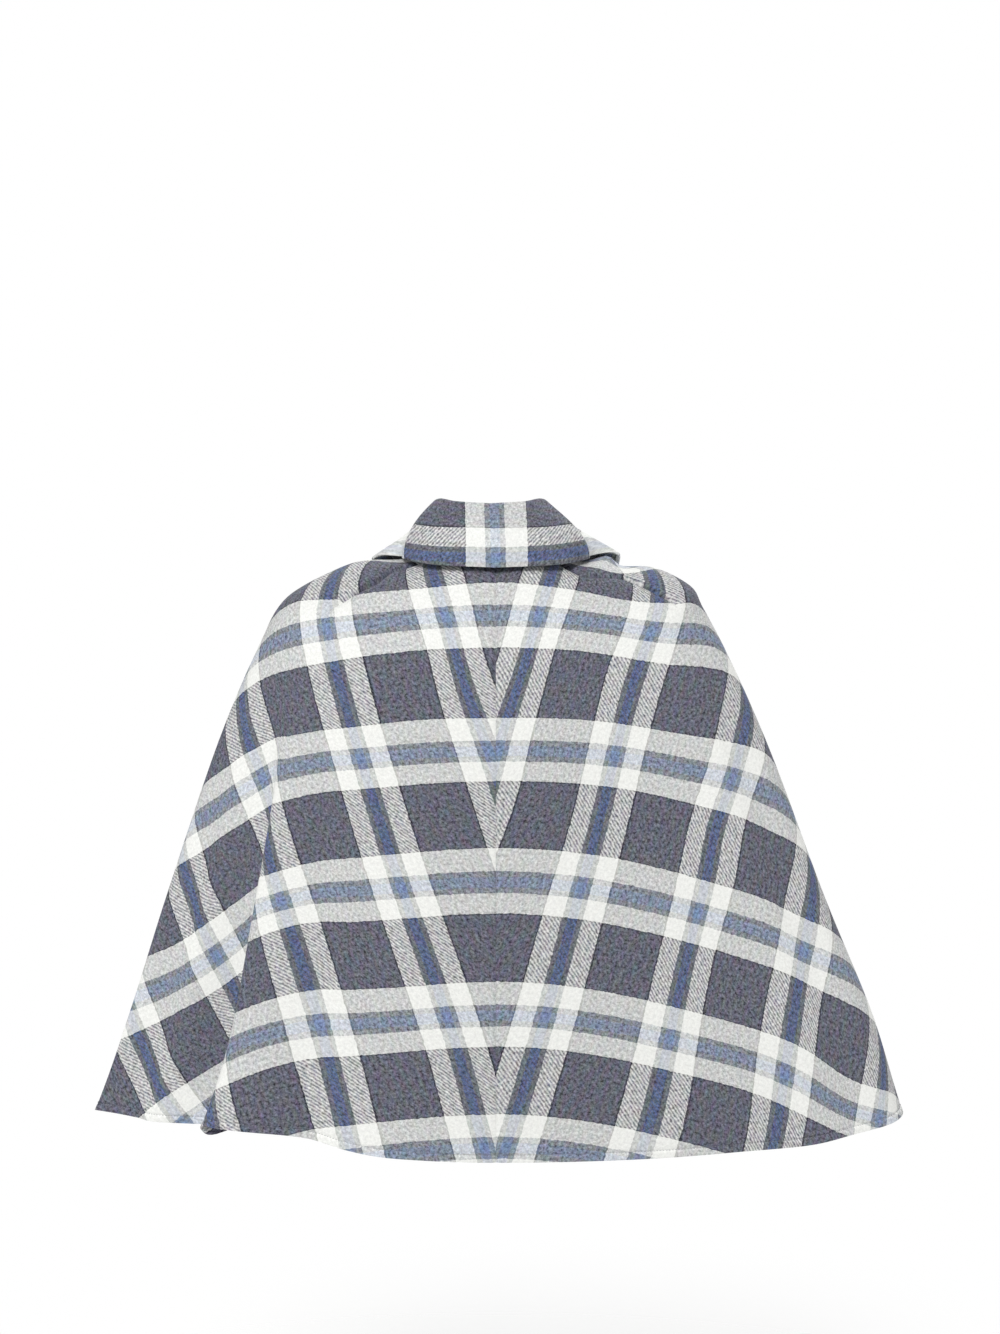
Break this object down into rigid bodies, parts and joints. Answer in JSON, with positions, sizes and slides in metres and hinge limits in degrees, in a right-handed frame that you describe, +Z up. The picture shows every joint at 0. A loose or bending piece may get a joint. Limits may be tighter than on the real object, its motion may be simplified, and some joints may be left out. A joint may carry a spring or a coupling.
{
  "type": "cape",
  "caption": "Flared wool cape in a grey, white and blue check, with a turn-down collar, a centre back seam, shoulder darts and a lapped front, hollow as worn.",
  "frame": {"origin": "middle of the neck opening, level with the neck seam at the centre back", "axes": "+X towards the wearer's right, +Y the way the wearer faces, +Z up"},
  "size_m": [0.9076, 0.332, 0.6967],
  "materials": {
    "body_wool": "brushed wool twill, matte with a soft nap, grey check with white and blue stripes",
    "collar_wool": "the same brushed wool twill, on the straight grain"
  },
  "bodies": {
    "root": {"half_left": "body_wool", "half_right": "body_wool", "collar_stand": "collar_wool", "collar_fall": "collar_wool"}
  },
  "joints": []
}
